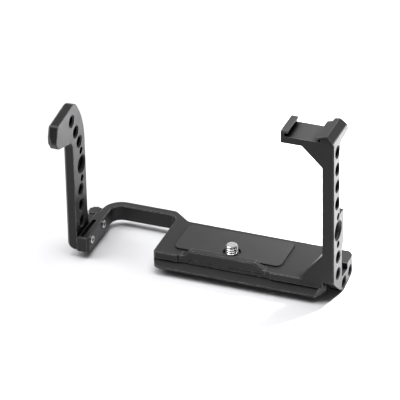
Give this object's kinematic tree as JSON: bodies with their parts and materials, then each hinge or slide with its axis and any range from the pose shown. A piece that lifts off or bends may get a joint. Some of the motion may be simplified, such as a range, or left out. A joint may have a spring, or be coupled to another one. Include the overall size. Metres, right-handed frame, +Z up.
{
  "type": "camera cage",
  "caption": "Open L-shaped camera cage: dovetail base plate with camera screw, upright with cold shoe, offset arm and a bolted, hooked side plate with a thumb knob.",
  "frame": {"origin": "camera screw's axis at the top face of the base plate", "axes": "+X towards the upright with the cold shoe, +Y to the back of the cage, away from the hook, +Z up along the camera screw"},
  "size_m": [0.1477, 0.0619, 0.0993],
  "materials": {
    "black_anodised": "satin",
    "knob_anodised": "satin",
    "steel": "satin",
    "black_steel": "satin",
    "rubber": "matte",
    "nylon": "matte"
  },
  "bodies": {
    "cage": {"cage_frame": "black_anodised", "left_side_plate": "black_anodised", "foot_screws": "steel", "foot_dowels": "steel", "anti_twist_lip": "black_anodised", "lip_screws": "black_steel", "base_pad": "rubber", "camera_screw_washer": "nylon"},
    "screw": {"camera_screw": "steel", "camera_screw_clip": "black_steel"},
    "ring": {"camera_screw_ring": "steel"},
    "washer": {"thumb_knob_washer": "black_steel"},
    "knob": {"thumb_knob": "knob_anodised", "thumb_knob_stud": "steel"}
  },
  "joints": [
    {"name": "camera_screw_turn", "type": "hinge", "parent": "cage", "child": "screw", "pos_m": [0, 0, 0], "axis": [0, 0, 1], "continuous": true},
    {"name": "ring_flip", "type": "hinge", "parent": "screw", "child": "ring", "pos_m": [0, 0, -0.0061], "axis": [-1, 0, 0], "range_deg": [0, 180]},
    {"name": "knob_lift", "type": "slide", "parent": "cage", "child": "washer", "axis": [0, 0, 1], "range_m": [0, 0.0021]},
    {"name": "knob_turn", "type": "hinge", "parent": "washer", "child": "knob", "pos_m": [-0.0843, 0.0203, -0.004], "axis": [0, 0, 1], "range_deg": [0, 1081]}
  ],
  "couplings": [
    {"joint": "knob_turn", "follows": "knob_lift", "rad_per_m": 8976}
  ]
}
